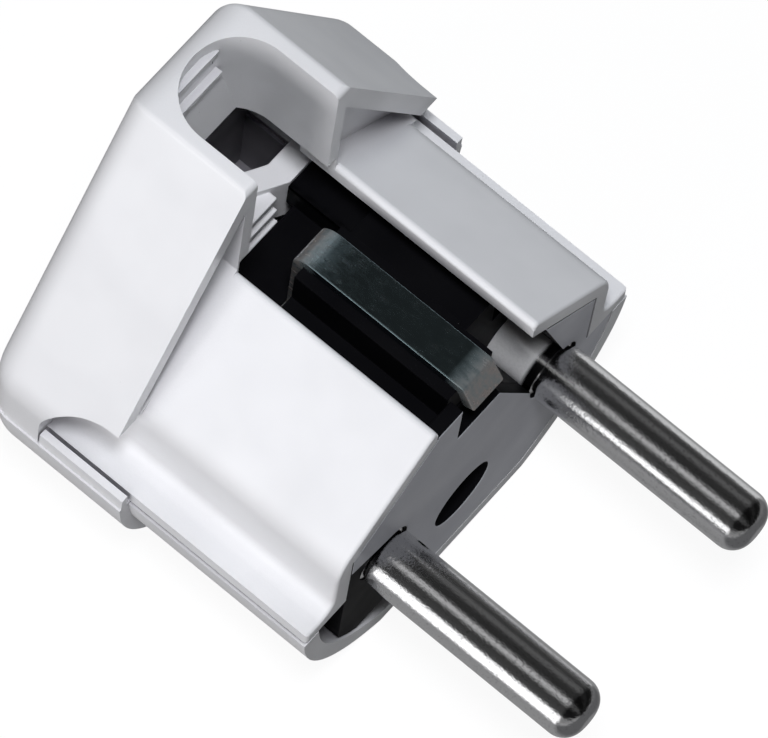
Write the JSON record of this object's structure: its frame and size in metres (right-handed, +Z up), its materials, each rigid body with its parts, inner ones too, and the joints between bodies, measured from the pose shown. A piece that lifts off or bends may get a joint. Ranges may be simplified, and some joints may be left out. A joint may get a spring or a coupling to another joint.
{
  "type": "angled type f plug",
  "caption": "White rewirable angled mains plug with round pins, side earth strips, a screw in the face and an open U-shaped cable exit on top of its hood.",
  "frame": {"origin": "middle of the pin face, halfway between the two pin axes", "axes": "+X across the pins to the right pin, +Y from the pin face back into the hood, +Z up to the cable exit"},
  "size_m": [0.0384, 0.0486, 0.0459],
  "materials": {
    "white_shell": "satin moulded plastic",
    "white_insert": "moulded plastic",
    "black_carrier": "matt moulded plastic",
    "plated_pin": "bright nickel plate",
    "plated_strip": "plated sheet",
    "zinc_screw": "zinc plated"
  },
  "bodies": {
    "root": {"upper_housing": "white_shell", "lower_housing": "white_shell", "front_plate": "white_insert", "cable_clamp": "white_insert", "contact_carrier": "black_carrier", "left_pin": "plated_pin", "right_pin": "plated_pin", "earth_bow": "plated_strip", "earth_terminal_washer": "plated_strip", "left_terminal_screw": "zinc_screw", "right_terminal_screw": "zinc_screw", "earth_terminal_screw": "zinc_screw", "left_clamp_screw": "zinc_screw", "right_clamp_screw": "zinc_screw", "housing_screw": "zinc_screw"}
  },
  "joints": []
}
